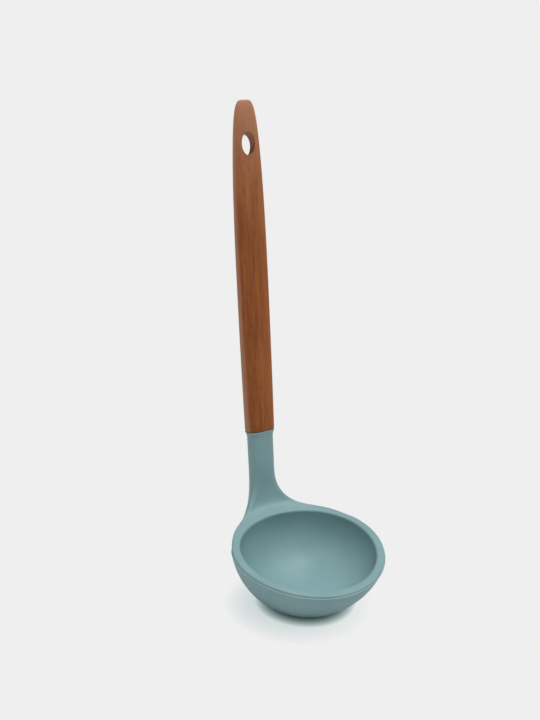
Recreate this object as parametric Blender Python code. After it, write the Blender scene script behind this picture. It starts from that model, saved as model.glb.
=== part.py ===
"""Soup ladle: a silicone skin over a stiff nylon core, whose tang is glued into a wooden handle.

The ladle stands on the flat under its bowl, at the origin. X is the width, the handle rises
on the +Y side, and Z is up. The plane x = 0 is the plane of symmetry.
"""
import bmesh
import bpy
import numpy as np

# Driving dimensions of the bowl, in metres and degrees.
RIM_RADIUS = 0.04545
RIM_WALL = 0.0053
RIM_LOBES = 0.016  # how far the rim's outline bows out at three places, as a share of its radius
RIM_SLOPE = 7.6  # the rim rises towards the handle
RIM_HEIGHT = 0.0370  # centre of the rim above the resting flat
RIM_EDGE_RADIUS = 0.0012
BOWL_FLOOR = 0.0047
BOWL_FULLNESS = 1.61  # power of the bowl's outer profile: 2 is a half circle, less is a funnel
INSIDE_FULLNESS = 1.78  # and of its inner one, which keeps the wall about as thick all the way
INSIDE_FLOOR_SHARE = 0.9  # how far down the inner profile its flat floor starts
BOWL_OFFSET = 0.0085  # the bottom lies this far from under the rim's centre, towards the handle
BASE_CUT = 0.0056  # how much of the round bottom the resting flat takes off: it has to stand on it

# Driving dimensions of the neck and of the web that spreads from it into the rim.
WEB_ANGLE = 67.5  # half of the rim's turn that the web takes up
WEB_DROP = 0.0154  # how far down the outside of the bowl the web starts
WEB_PULLS = ((2.3, 1.46, 2.6), (1.4, 0.5, 0.5))  # see web_sheet
CORE_WEB_ANGLE = 30.0  # the core's web is narrower
CORE_WEB_DROP = 0.0130
CORE_WEB_PULLS = ((2.3, 1.8, 2.4), (1.4, 0.7, 0.6))
NECK_WIDTH = 0.0158
NECK_THICKNESS = 0.0108
NECK_STRAIGHT = 0.0267  # length of the neck above the web
COLLAR_WIDTH = 0.0183
COLLAR_THICKNESS = 0.0115
COLLAR_HEIGHT = 0.004
SECTION_POWER = 3.2  # 2 is an ellipse, more is squarer

# Driving dimensions of the joint with the handle, and of the handle.
JOINT_REACH = 0.0600  # from the rim's centre back to the axis of the handle
JOINT_RISE = 0.0546  # from the rim's centre up to the end of the wood
HANDLE_LEAN = 3.26
HANDLE_LENGTH = 0.1995
HANDLE_WIDTH = 0.0198
HANDLE_FOOT_WIDTH = 0.0182
HANDLE_FOOT_THICKNESS = 0.0115
HANDLE_TIP_THICKNESS = 0.0060
HANDLE_WIDEST_FROM_TIP = 0.0957
TIP_TAPER = 1.95  # shape of the handle's outline: more keeps its full width for longer
TIP_FULLNESS = 0.243  # and less makes its tip blunter
TIP_FLAT_WIDTH = 0.0052
TIP_ROUNDING = 0.009  # length over which the tip thins to its flat end
TIP_FLAT_THICKNESS = 0.0040
FOOT_EDGE_RADIUS = 0.0006
HOLE_WIDTH = 0.0083
HOLE_HEIGHT = 0.0127
HOLE_FROM_TIP = 0.0254
HOLE_SLANT = 16.5  # the hole is bored downwards to the back by this angle

# Driving dimensions of the inner pieces.
SKIN_THICKNESS = 0.0014
TANG_WIDTH = 0.0095
TANG_THICKNESS = 0.0050
TANG_LENGTH = 0.042
TANG_GROOVES = 3
TANG_GROOVE_DEPTH = 0.0004
TANG_GROOVE_WIDTH = 0.002
ADHESIVE_THICKNESS = 0.0005
CLEARANCE = 0.0003  # between pieces that touch on the real ladle
LEAST_EDGE = 0.0006  # rounding of the inner pieces' rims

# How finely the curved faces are divided.
COLUMNS = 48
WALL_RINGS = 7
EDGE_RINGS = 2
WEB_LOOPS = 8
SHEET_STIFFNESS = 0.1
HANDLE_STATIONS = 22
HANDLE_SIDES = 28
HOLE_SIDES = 32

SLOPE = np.tan(np.radians(RIM_SLOPE))
LEAN = np.radians(HANDLE_LEAN)
UP_HANDLE = np.array([0.0, np.sin(LEAN), np.cos(LEAN)])
BACK = np.array([0.0, np.cos(LEAN), -np.sin(LEAN)])
JOINT = np.array([0.0, JOINT_REACH - BOWL_OFFSET, RIM_HEIGHT + JOINT_RISE])


def remove_startup_objects():
    for thing in list(bpy.data.objects):
        bpy.data.objects.remove(thing, do_unlink=True)


def material(name, colour, roughness):
    made = bpy.data.materials.new(name)
    made.use_nodes = True
    shader = made.node_tree.nodes["Principled BSDF"]
    shader.inputs["Base Color"].default_value = (*colour, 1.0)
    shader.inputs["Roughness"].default_value = roughness
    shader.inputs["Metallic"].default_value = 0.0
    return made


def object_of(name, mesh_maker, surface):
    """The bmesh as a named object with its own material, shaded smooth up to 35 degrees."""
    bmesh.ops.recalc_face_normals(mesh_maker, faces=mesh_maker.faces[:])
    mesh = bpy.data.meshes.new(name)
    mesh_maker.to_mesh(mesh)
    mesh_maker.free()
    if surface:
        mesh.materials.append(surface)
    mesh.shade_smooth()
    mesh.set_sharp_from_angle(angle=np.radians(35.0))
    made = bpy.data.objects.new(name, mesh)
    bpy.context.scene.collection.objects.link(made)
    return made


def add_loop(mesh_maker, points):
    return [mesh_maker.verts.new(point) for point in points]


def join_loops(mesh_maker, first, second):
    """Four-sided faces between two closed loops of as many points."""
    for i in range(len(first)):
        j = (i + 1) % len(first)
        mesh_maker.faces.new((first[i], first[j], second[j], second[i]))


def join_uneven_loops(mesh_maker, first, first_angles, second, second_angles):
    """Triangles between two closed loops with different numbers of points round the same axis."""
    ends = [np.append(angles, angles[0] + 2 * np.pi) for angles in (first_angles, second_angles)]
    i = j = 0
    while i < len(first) or j < len(second):
        here, there = first[i % len(first)], second[j % len(second)]
        if j == len(second) or (i < len(first) and ends[0][i + 1] <= ends[1][j + 1]):
            i += 1
            mesh_maker.faces.new((here, first[i % len(first)], there))
        else:
            j += 1
            mesh_maker.faces.new((here, second[j % len(second)], there))


def unit(vectors):
    return vectors / np.linalg.norm(vectors, axis=-1, keepdims=True)


# The bowl. Every surface of the head is made from the same formulas with an inset: none for the
# outside of the skin, more for the cavity inside the skin, and more again for the core.


def rim_outline(theta, radius):
    """Distance of the rim from its centre, where theta is the turn from the handle's side."""
    return radius * (1.0 - RIM_LOBES * np.cos(3.0 * theta))


def wall_point(theta, share, radius, drop, depth, fullness=BOWL_FULLNESS):
    """Point on a bowl wall, from the rim at share 0 to the bottom at share 1."""
    turn = share * np.pi / 2
    reach = rim_outline(theta, radius)
    fall = np.sin(turn) ** (2.0 / fullness)
    x = reach * np.cos(turn) * np.sin(theta)
    y = reach * np.cos(turn) * np.cos(theta) - BOWL_OFFSET * (1.0 - fall)
    top = RIM_HEIGHT + reach * np.cos(theta) * SLOPE - drop
    z = top * (1.0 - fall) + (RIM_HEIGHT - depth) * fall
    return np.stack(np.broadcast_arrays(x, y, z), axis=-1)


def share_at(fall, fullness=BOWL_FULLNESS):
    """The share at which a wall has fallen this part of its depth."""
    return np.arcsin(fall ** (fullness / 2.0)) * 2.0 / np.pi


def flat_share(theta, radius, inset):
    """The share at which the outer wall reaches the level of the resting flat."""
    fall = RIM_HEIGHT + rim_outline(theta, radius) * np.cos(theta) * SLOPE - 2 * inset
    return share_at(fall / (fall + BASE_CUT))


def face_point(theta, radius, inset):
    """Point on the flat top face of the rim."""
    return wall_point(theta, 0.0, radius, inset, RIM_HEIGHT)


def rounded(start, corner, end):
    """Points from start to end round a corner, without the start, along a quadratic curve."""
    u = (np.arange(1, EDGE_RINGS + 1) / EDGE_RINGS)[:, None, None]
    return (1 - u) ** 2 * start + 2 * u * (1 - u) * corner + u ** 2 * end


def bowl_rings(inset, web_drop):
    """Rings from the resting flat up the outside, over the rim and down the inside.

    Returns the rings, with the numbers of the rings where the web's edge runs.
    """
    theta = np.arange(COLUMNS) * 2 * np.pi / COLUMNS
    outer = RIM_RADIUS - inset
    inner = RIM_RADIUS - RIM_WALL + inset
    edge = max(RIM_EDGE_RADIUS - inset, LEAST_EDGE)
    outer_depth = RIM_HEIGHT + BASE_CUT - inset
    inner_depth = RIM_HEIGHT - BOWL_FLOOR + inset
    web = share_at(web_drop / (RIM_HEIGHT + BASE_CUT))
    under_edge = share_at(edge / outer_depth)

    outside = [wall_point(theta, share, outer, inset, outer_depth)
               for share in np.linspace(flat_share(theta, outer, inset), web, WALL_RINGS)]
    outside[0][:, 2] = inset
    outside += [wall_point(theta, share, outer, inset, outer_depth)
                for share in np.linspace(web, under_edge, 3)[1:]]
    outside += list(rounded(outside[-1], face_point(theta, outer, inset),
                            face_point(theta, outer - edge, inset)))
    web_start = WALL_RINGS - 1
    inside = [face_point(theta, inner + edge, inset)]
    web_end = len(outside)
    past_edge = share_at(edge / inner_depth, INSIDE_FULLNESS)
    down = np.linspace(past_edge, INSIDE_FLOOR_SHARE, WALL_RINGS + 1)
    wall = [wall_point(theta, share, inner, inset, inner_depth, INSIDE_FULLNESS)
            for share in down]
    inside += list(rounded(inside[0], face_point(theta, inner, inset), wall[0]))
    inside += wall[1:]
    return np.array(outside + inside), web_start, web_end


# The neck and the web.


def axis_point(along):
    """Point on the axis of neck and handle, this far above the joint."""
    return JOINT + np.multiply.outer(along, UP_HANDLE)


def section(along, width, thickness, angles):
    """Squared oval across the handle's axis, its angle 0 at the front and 90 degrees at +X."""
    sine, cosine = np.sin(angles), np.cos(angles)
    x = width / 2 * np.sign(sine) * np.abs(sine) ** (2.0 / SECTION_POWER)
    back = -thickness / 2 * np.sign(cosine) * np.abs(cosine) ** (2.0 / SECTION_POWER)
    return axis_point(along) + x[:, None] * np.array([1.0, 0.0, 0.0]) + back[:, None] * BACK


def web_angles(arc, side):
    """Angles round the neck's section that belong to the points of the web's edge."""
    corner = 50.0
    front = np.linspace(-corner, corner, arc + 1)[:-1]
    right = np.linspace(corner, 180 - corner, side + 1)[:-1]
    back = np.linspace(180 - corner, 180 + corner, arc + 1)[:-1]
    left = np.linspace(180 + corner, 360 - corner, side + 1)[:-1]
    return np.radians(np.concatenate([front, right, back, left]))


def edge_path(web_start, web_end, web_angle):
    """Ring and column of each point round the web's edge, starting at the front on the left."""
    reach = round(web_angle / 360.0 * COLUMNS)
    columns = np.arange(-reach, reach + 1)
    rings = np.arange(web_end, web_start - 1, -1)
    path = [(web_end, column) for column in columns[:-1]]
    path += [(ring, reach) for ring in rings[:-1]]
    path += [(web_start, column) for column in columns[::-1][:-1]]
    path += [(ring, -reach) for ring in rings[::-1][:-1]]
    return path, len(columns) - 1, len(rings) - 1


def edge_directions(rings, path):
    """Direction along the bowl's surface, out of the web, at each point of its edge."""
    reach = max(column for _, column in path)
    top = max(ring for ring, _ in path)
    outward = []
    for ring, column in path:
        here = rings[ring, column % COLUMNS]
        if abs(column) == reach:
            outward.append(rings[ring, (column + np.sign(column)) % COLUMNS] - here)
        elif ring == top:
            outward.append(here - rings[ring - 1, column % COLUMNS])
        else:
            outward.append(rings[ring - 1, column % COLUMNS] - here)
    outward = unit(np.array(outward))
    for _ in range(2):
        outward = unit(outward + 0.5 * (np.roll(outward, 1, 0) + np.roll(outward, -1, 0)))
    return outward


def taut_sheet(start, start_pull, end, end_pull, steps):
    """Closed loops between two closed loops, along a sheet that bends as little as it can.

    A pull is the direction and the speed with which the sheet leaves its first loop or arrives at
    its last one. The sheet is solved one wave round the loops at a time.
    """
    count = len(start)
    step = 1.0 / steps
    bend = np.diag(-2.0 * np.ones(steps + 1)) + np.eye(steps + 1, k=1) + np.eye(steps + 1, k=-1)
    bend[0, 1] = bend[-1, -2] = 2.0
    ends = np.ones(steps + 1)
    ends[[0, -1]] = 0.5
    stretch = np.diff(np.eye(steps + 1), axis=0)
    waves = [np.fft.fft(part, axis=0) for part in (start, start_pull, end, end_pull)]
    sheet = np.zeros((steps + 1, count, 3), complex)
    sheet[0], sheet[-1] = waves[0], waves[2]
    for i in range(count):
        turn = (2.0 - 2.0 * np.cos(2 * np.pi * i / count)) * count ** 2 * SHEET_STIFFNESS
        across = turn ** 2 * np.eye(steps + 1)
        energy = (bend.T @ np.diag(ends) @ bend / step ** 4 + 2 * turn * stretch.T @ stretch / step ** 2
                  + across)
        pulls = np.zeros((steps + 1, 3), complex)
        pulls[0] = -2.0 * waves[1][i] / step ** 3
        pulls[-1] = 2.0 * waves[3][i] / step ** 3
        known = bend.T @ np.diag(ends) @ pulls + energy[:, [0, -1]] @ sheet[[0, -1], i]
        sheet[1:-1, i] = -np.linalg.solve(energy[1:-1, 1:-1], known[1:-1])
    return np.fft.ifft(sheet, axis=1).real


def web_sheet(rings, path, angles, inset, pulls):
    """Loops of the web, as a sheet that leaves the neck along its axis and runs into the bowl.

    The pulls say how far it goes on along the neck and along the bowl, each at its front, at its
    sides and at its back.
    """
    neck = section(-NECK_STRAIGHT, NECK_WIDTH - 2 * inset, NECK_THICKNESS - 2 * inset, angles)
    edge = np.array([rings[ring, column % COLUMNS] for ring, column in path])
    gap = np.linalg.norm(edge - neck, axis=1)[:, None]
    front = np.clip(np.cos(angles), 0, 1)[:, None] ** 2
    behind = np.clip(-np.cos(angles), 0, 1)[:, None] ** 2
    weights = np.concatenate([front, 1 - front - behind, behind], axis=1)
    neck_pull = -UP_HANDLE * gap * (weights @ pulls[0])[:, None]
    edge_pull = edge_directions(rings, path) * gap * (weights @ pulls[1])[:, None]
    return taut_sheet(neck, neck_pull, edge, edge_pull, WEB_LOOPS)


def add_head_surface(mesh_maker, inset, web_angle, web_drop, pulls):
    """The bowl and web at this inset, open at the top of the straight neck.

    Returns the neck's open loop and the angles of its points.
    """
    rings, web_start, web_end = bowl_rings(inset, web_drop)
    path, arc, side = edge_path(web_start, web_end, web_angle)
    angles = web_angles(arc, side)
    reach = max(column for _, column in path)
    inside_web = {(ring, column % COLUMNS) for ring in range(web_start + 1, web_end)
                  for column in range(1 - reach, reach)}
    verts = {(i, j): mesh_maker.verts.new(rings[i, j])
             for i in range(len(rings)) for j in range(COLUMNS) if (i, j) not in inside_web}
    for i in range(len(rings) - 1):
        for j in range(COLUMNS):
            column = j if j <= COLUMNS // 2 else j - COLUMNS
            if web_start <= i < web_end and -reach <= column < reach:
                continue
            k = (j + 1) % COLUMNS
            mesh_maker.faces.new((verts[i, j], verts[i + 1, j], verts[i + 1, k], verts[i, k]))
    mesh_maker.faces.new([verts[0, j] for j in range(COLUMNS)])
    mesh_maker.faces.new([verts[len(rings) - 1, j] for j in range(COLUMNS)][::-1])
    lower = [verts[ring, column % COLUMNS] for ring, column in path]
    for points in web_sheet(rings, path, angles, inset, pulls)[-2::-1]:
        upper = add_loop(mesh_maker, points)
        join_loops(mesh_maker, lower, upper)
        lower = upper
    return lower, angles


def add_cavity(mesh_maker):
    """The surface of the cavity in the skin, up to the straight neck."""
    return add_head_surface(mesh_maker, SKIN_THICKNESS, CORE_WEB_ANGLE, CORE_WEB_DROP,
                            CORE_WEB_PULLS)


def make_silicone_skin(surface):
    """The moulded skin: bowl, web, neck and collar, hollow where the core lies."""
    skin = bmesh.new()
    outside, angles = add_head_surface(skin, 0.0, WEB_ANGLE, WEB_DROP, WEB_PULLS)
    widen_from = -COLLAR_HEIGHT
    for along, share in ((widen_from, 0.0), (-0.45 * COLLAR_HEIGHT, 0.35), (0.0, 1.0)):
        width = NECK_WIDTH + (COLLAR_WIDTH - NECK_WIDTH) * share
        thickness = NECK_THICKNESS + (COLLAR_THICKNESS - NECK_THICKNESS) * share
        upper = add_loop(skin, section(along, width, thickness, angles))
        join_loops(skin, outside, upper)
        outside = upper
    cavity, core_angles = add_cavity(skin)
    mouth = add_loop(skin, section(0.0, NECK_WIDTH - 2 * SKIN_THICKNESS,
                                   NECK_THICKNESS - 2 * SKIN_THICKNESS, core_angles))
    join_loops(skin, cavity, mouth)
    join_uneven_loops(skin, outside, angles, mouth, core_angles)
    return object_of("silicone_skin", skin, surface)


def tang_profile():
    """Height above the joint and inset of each loop of the tang, with its glue grooves."""
    profile = [(0.0, 0.0)]
    pitch = TANG_LENGTH / (TANG_GROOVES + 1)
    for i in range(1, TANG_GROOVES + 1):
        middle = i * pitch
        profile += [(middle - TANG_GROOVE_WIDTH / 2, 0.0), (middle, TANG_GROOVE_DEPTH),
                    (middle + TANG_GROOVE_WIDTH / 2, 0.0)]
    return profile + [(TANG_LENGTH, 0.0)]


def make_nylon_core(surface):
    """The stiff core inside the skin, with the tang that stands up into the handle.

    It is the cavity of the skin moved inwards by the clearance.
    """
    inset = SKIN_THICKNESS + CLEARANCE
    core = bmesh.new()
    lower, angles = add_cavity(core)
    core.normal_update()
    moves = [vert.normal * vert.calc_shell_factor() * CLEARANCE for vert in core.verts]
    for vert, move in zip(core.verts, moves):
        vert.co -= move
    shoulder = add_loop(core, section(0.0, NECK_WIDTH - 2 * inset, NECK_THICKNESS - 2 * inset,
                                      angles))
    join_loops(core, lower, shoulder)
    lower = shoulder
    for along, groove in tang_profile():
        upper = add_loop(core, section(along, TANG_WIDTH - 2 * groove,
                                       TANG_THICKNESS - 2 * groove, angles))
        join_loops(core, lower, upper)
        lower = upper
    core.faces.new(lower)
    return object_of("nylon_core", core, surface)


def make_tang_adhesive(surface):
    """The sleeve of cured glue between the tang and its socket."""
    angles = np.arange(HANDLE_SIDES) * 2 * np.pi / HANDLE_SIDES
    start, end = 2 * CLEARANCE, TANG_LENGTH
    inner_gap, outer_gap = 2 * CLEARANCE, 2 * (CLEARANCE + ADHESIVE_THICKNESS)
    sleeve = bmesh.new()
    loops = [add_loop(sleeve, section(along, TANG_WIDTH + gap, TANG_THICKNESS + gap, angles))
             for along, gap in ((start, inner_gap), (end, inner_gap), (end, outer_gap),
                                (start, outer_gap))]
    for i in range(4):
        join_loops(sleeve, loops[i], loops[(i + 1) % 4])
    return object_of("tang_adhesive", sleeve, surface)


# The handle.


def handle_width(from_tip):
    """Width of the front face: a long rounded tip that widens to its full width and then narrows
    a little towards the joint."""
    share = np.clip(from_tip / HANDLE_WIDEST_FROM_TIP, 0.0, 1.0)
    tip = HANDLE_WIDTH * (1.0 - (1.0 - share) ** TIP_TAPER) ** TIP_FULLNESS
    below = np.clip((from_tip - HANDLE_WIDEST_FROM_TIP) / (HANDLE_LENGTH - HANDLE_WIDEST_FROM_TIP),
                    0.0, 1.0)
    return np.maximum(tip, TIP_FLAT_WIDTH) - (HANDLE_WIDTH - HANDLE_FOOT_WIDTH) * below ** 2


def handle_thickness(from_tip):
    """Thickness: thinner towards the tip, and rounded off over the last stretch."""
    share = from_tip / HANDLE_LENGTH
    body = HANDLE_TIP_THICKNESS + (HANDLE_FOOT_THICKNESS - HANDLE_TIP_THICKNESS) * share
    near = np.clip(1.0 - from_tip / TIP_ROUNDING, 0.0, 1.0)
    return body - (HANDLE_TIP_THICKNESS - TIP_FLAT_THICKNESS) * (1.0 - np.sqrt(1.0 - near ** 2))


def handle_stations():
    """Distances from the tip, closer together where the tip rounds off."""
    return HANDLE_LENGTH * np.linspace(0.0, 1.0, HANDLE_STATIONS) ** 2.2


def make_wooden_handle(surface):
    """The turned and sanded handle, before its hole and its socket are cut."""
    angles = np.arange(HANDLE_SIDES) * 2 * np.pi / HANDLE_SIDES
    blank = bmesh.new()
    lower = None
    stations = handle_stations()
    for from_tip in stations[:-1]:
        points = section(HANDLE_LENGTH - from_tip, handle_width(from_tip),
                         handle_thickness(from_tip), angles)
        upper = add_loop(blank, points)
        if lower:
            join_loops(blank, lower, upper)
        else:
            blank.faces.new(upper)
        lower = upper
    for height, narrowing in ((CLEARANCE + FOOT_EDGE_RADIUS, 0.0), (CLEARANCE, FOOT_EDGE_RADIUS)):
        points = section(height, HANDLE_FOOT_WIDTH - 2 * narrowing,
                         HANDLE_FOOT_THICKNESS - 2 * narrowing, angles)
        upper = add_loop(blank, points)
        join_loops(blank, lower, upper)
        lower = upper
    blank.faces.new(lower)
    return object_of("wooden_handle", blank, surface)


def make_cutter(name, loops):
    cutter = bmesh.new()
    first = add_loop(cutter, loops[0])
    second = add_loop(cutter, loops[1])
    join_loops(cutter, first, second)
    cutter.faces.new(first)
    cutter.faces.new(second)
    made = object_of(name, cutter, None)
    made.hide_render = True
    made.display_type = "WIRE"
    return made


def make_hole_cutter():
    """An oval bar along the hanging hole, which slants down to the back."""
    angles = np.arange(HOLE_SIDES) * 2 * np.pi / HOLE_SIDES
    slant = np.radians(HOLE_SLANT)
    along_hole = np.cos(slant) * BACK - np.sin(slant) * UP_HANDLE
    up_hole = np.cos(slant) * UP_HANDLE + np.sin(slant) * BACK
    middle = axis_point(HANDLE_LENGTH - HOLE_FROM_TIP)
    outline = (middle + HOLE_WIDTH / 2 * np.sin(angles)[:, None] * np.array([1.0, 0.0, 0.0])
               + HOLE_HEIGHT / 2 * np.cos(angles)[:, None] * up_hole)
    reach = HANDLE_FOOT_THICKNESS
    return make_cutter("hole_cutter", (outline - reach * along_hole, outline + reach * along_hole))


def make_socket_cutter():
    """A bar the size of the blind socket that takes the tang and its glue."""
    angles = np.arange(HANDLE_SIDES) * 2 * np.pi / HANDLE_SIDES
    gap = 2 * (2 * CLEARANCE + ADHESIVE_THICKNESS)
    loops = [section(along, TANG_WIDTH + gap, TANG_THICKNESS + gap, angles)
             for along in (-FOOT_EDGE_RADIUS, TANG_LENGTH + 4 * CLEARANCE)]
    return make_cutter("socket_cutter", loops)


def cut(piece, cutter):
    boolean = piece.modifiers.new("Cut " + cutter.name, "BOOLEAN")
    boolean.operation = "DIFFERENCE"
    boolean.solver = "EXACT"
    boolean.object = cutter


def make_ladle():
    silicone = material("silicone_moulded", (0.226, 0.361, 0.376), 0.55)
    nylon = material("nylon_glass_filled", (0.10, 0.12, 0.13), 0.45)
    epoxy = material("epoxy_cured", (0.62, 0.52, 0.30), 0.35)
    wood = material("acacia_oiled", (0.262, 0.109, 0.045), 0.45)
    make_silicone_skin(silicone)
    make_nylon_core(nylon)
    make_tang_adhesive(epoxy)
    handle = make_wooden_handle(wood)
    cut(handle, make_hole_cutter())
    cut(handle, make_socket_cutter())


remove_startup_objects()
make_ladle()
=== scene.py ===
# %% [markdown]
# # A soup ladle: moulded silicone on a wooden handle
#
# This lesson dresses the solids of a soup ladle so that they look like the real one. The ladle
# stands on the flat under its bowl. The bowl, the web behind it and the neck are one skin of matt
# silicone, moulded over a stiff core, and the handle is a flat bar of oiled wood with a slanted
# oval hole. Every new surface is worked out with numpy as a grid of points, so that the shape is a
# formula with a few named sizes. All lengths are metres and all angles are degrees.

# %% Load the solids
import bmesh
import bpy
import numpy as np
from mathutils import Matrix, Vector


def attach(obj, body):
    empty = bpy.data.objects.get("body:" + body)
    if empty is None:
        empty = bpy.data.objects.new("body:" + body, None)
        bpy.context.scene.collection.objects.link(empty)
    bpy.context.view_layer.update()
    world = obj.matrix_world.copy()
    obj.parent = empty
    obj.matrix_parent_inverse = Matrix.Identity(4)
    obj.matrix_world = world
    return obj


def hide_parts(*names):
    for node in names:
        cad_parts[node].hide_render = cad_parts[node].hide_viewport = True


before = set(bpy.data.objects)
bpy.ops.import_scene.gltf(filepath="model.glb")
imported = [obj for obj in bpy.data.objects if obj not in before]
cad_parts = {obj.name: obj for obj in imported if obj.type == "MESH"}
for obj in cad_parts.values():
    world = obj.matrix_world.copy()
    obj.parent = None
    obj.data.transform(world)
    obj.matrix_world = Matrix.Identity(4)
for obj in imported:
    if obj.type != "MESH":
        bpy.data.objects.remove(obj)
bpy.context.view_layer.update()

print("solids:", sorted(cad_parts))

# %% [markdown]
# ## The camera
#
# A camera could be placed by eye, but here it was fitted to the rim and the handle of the real
# ladle, so it is given by what it looks at: the middle of the rim, its distance and two angles.
# The rim isn't in the middle of the picture, so the camera is then turned by the small angle
# between the two, and needs no shift.

# %% Place the camera
PICTURE = (540.0, 720.0)  # width and height in pixels
FOCAL_LENGTH = 1000.0  # in pixels
CAMERA_TURN = -31.0  # from straight in front of the handle, to the left
CAMERA_HEIGHT = 28.43  # degrees above the level of the rim
CAMERA_DISTANCE = 0.602
RIM_CENTRE = np.array([0.0, -0.0085, 0.0370])
RIM_PIXEL = (309.57, 547.66)  # where the middle of the rim lies in the picture
NEAREST_SEEN = 0.01


def camera_axes(turn, height):
    """Rows: right, down and forward, for a camera that looks at the rim from this turn and
    height."""
    turn, height = np.radians([turn, height])
    right = np.array([np.cos(turn), np.sin(turn), 0.0])
    back = np.array([np.sin(turn) * np.cos(height), -np.cos(turn) * np.cos(height), np.sin(height)])
    return np.array([right, np.cross(-back, right), -back])


def make_camera():
    """A camera whose axes are turned by the angle between the picture's middle and the rim's."""
    axes = camera_axes(CAMERA_TURN, CAMERA_HEIGHT)
    eye = RIM_CENTRE - CAMERA_DISTANCE * axes[2]
    ray = Vector(((RIM_PIXEL[0] - PICTURE[0] / 2) / FOCAL_LENGTH,
                  (RIM_PIXEL[1] - PICTURE[1] / 2) / FOCAL_LENGTH, 1.0))
    turned = np.array(Vector((0, 0, 1)).rotation_difference(ray.normalized()).to_matrix()) @ axes
    data = bpy.data.cameras.new("photo_camera")
    data.lens = FOCAL_LENGTH * data.sensor_width / max(PICTURE)
    data.clip_start = NEAREST_SEEN
    camera = bpy.data.objects.new("photo_camera", data)
    bpy.context.scene.collection.objects.link(camera)
    rows = [[turned[0, i], -turned[1, i], -turned[2, i], eye[i]] for i in range(3)]
    camera.matrix_world = Matrix(rows + [[0, 0, 0, 1]])
    bpy.context.scene.camera = camera
    return camera


camera = make_camera()
print("camera at", np.round(camera.matrix_world.translation, 4), "lens", camera.data.lens)

# %% [markdown]
# ## Tools for meshes
#
# Each piece is made of a few grids of points. A grid closes on itself or not, and grids that
# share an edge compute it from the same numbers, so that merging doubles joins them into one
# closed skin. The normals are recalculated on that closed skin, which turns every face outwards.

# %% Grids to meshes
MERGE_DISTANCE = 1e-7
SHARP_ANGLE = 40.0  # faces that meet at more than this keep a crisp edge


def unit(vectors):
    """Each vector divided by its own length."""
    return vectors / np.maximum(np.linalg.norm(vectors, axis=-1, keepdims=True), 1e-12)


def grid_faces(rows, columns, closed, keep=None):
    """Numbers of the four corners of each face of a grid, which may close round its columns."""
    across = np.arange(columns if closed else columns - 1)
    i, j = np.meshgrid(np.arange(rows - 1), across, indexing="ij")
    k = (j + 1) % columns
    faces = np.stack([i * columns + j, (i + 1) * columns + j, (i + 1) * columns + k,
                      i * columns + k], axis=-1)
    return faces.reshape(-1, 4) if keep is None else faces[keep]


def piece_from(name, grids, extra_faces=()):
    """A mesh object from grids, each (points, closed) or (points, closed, which faces to keep), and
    from faces that are given by their corners."""
    points, faces, first = [], [], 0
    for grid in grids:
        shape = grid[0].shape
        points.append(grid[0].reshape(-1, 3))
        faces.append(grid_faces(shape[0], shape[1], *grid[1:]) + first)
        first += shape[0] * shape[1]
    for corners in extra_faces:
        count = corners.shape[0] * corners.shape[1]
        points.append(corners.reshape(-1, 3))
        faces.append(np.arange(count).reshape(corners.shape[:2]) + first)
        first += count
    mesh = bpy.data.meshes.new(name)
    corner_lists = [face for block in faces for face in block.tolist()]
    mesh.from_pydata(np.concatenate(points), [], corner_lists)
    shape = bmesh.new()
    shape.from_mesh(mesh)
    bmesh.ops.remove_doubles(shape, verts=shape.verts, dist=MERGE_DISTANCE)
    bmesh.ops.delete(shape, geom=[v for v in shape.verts if not v.link_faces], context="VERTS")
    bmesh.ops.recalc_face_normals(shape, faces=shape.faces)
    open_edges = sum(not edge.is_manifold for edge in shape.edges)
    volume = shape.calc_volume()
    shape.to_mesh(mesh)
    shape.free()
    mesh.shade_smooth()
    mesh.set_sharp_from_angle(angle=np.radians(SHARP_ANGLE))
    made = bpy.data.objects.new(name, mesh)
    bpy.context.scene.collection.objects.link(made)
    print(name, "faces", len(mesh.polygons), "open edges", open_edges, "volume cm3",
          round(volume * 1e6, 2))
    return made


def fan(loop):
    """Triangles from a closed loop of points to its middle."""
    middle = np.broadcast_to(loop.mean(axis=0), loop.shape)
    return np.stack([loop, np.roll(loop, -1, axis=0), middle], axis=1)


# %% [markdown]
# ## The bowl
#
# The bowl isn't a ball. Its rim bows out at three places, it tilts up towards the handle, and its
# wall runs down in a curve between a cone and a ball to a bottom that lies nearer the handle. All
# of that is one formula of two numbers: the turn round the bowl, and the share of the way from
# rim to bottom. The rim's two edges are rounded with a curve through three points.

# %% Sizes of the bowl
RIM_RADIUS = 0.04545
RIM_WALL = 0.0053  # width of the rim's flat face with its two rounded edges
RIM_LOBES = 0.016  # how far the rim bows out, as a share of its radius
RIM_SLOPE = 7.6
RIM_HEIGHT = 0.0370
RIM_EDGE_RADIUS = 0.0016  # the solid has 0.0012, and silicone's real edges are softer than that
LEAST_EDGE = 0.0006
BOWL_FLOOR = 0.0047
BOWL_FULLNESS, INSIDE_FULLNESS = 1.61, 1.78  # 1 is a cone and 2 a ball
INSIDE_FLOOR_SHARE = 0.9
BOWL_OFFSET = 0.0085  # from the rim's middle to the bottom's, towards the handle
BASE_CUT = 0.0056  # what the resting flat cuts off the round bottom
WEB_DROP = 0.0154  # how far below the rim the web ends on the outer wall
COLUMNS = 48  # round the bowl, times the detail of the surface
DETAIL = 5
LOWER_WALL, UPPER_WALL, EDGE, FACE, INSIDE = 6, 2, 2, 1, 7  # rings of each, times the detail


def rim_outline(theta, radius):
    """Distance of the rim from its middle: a circle that bows out at three places."""
    return radius * (1.0 - RIM_LOBES * np.cos(3.0 * theta))


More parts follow.
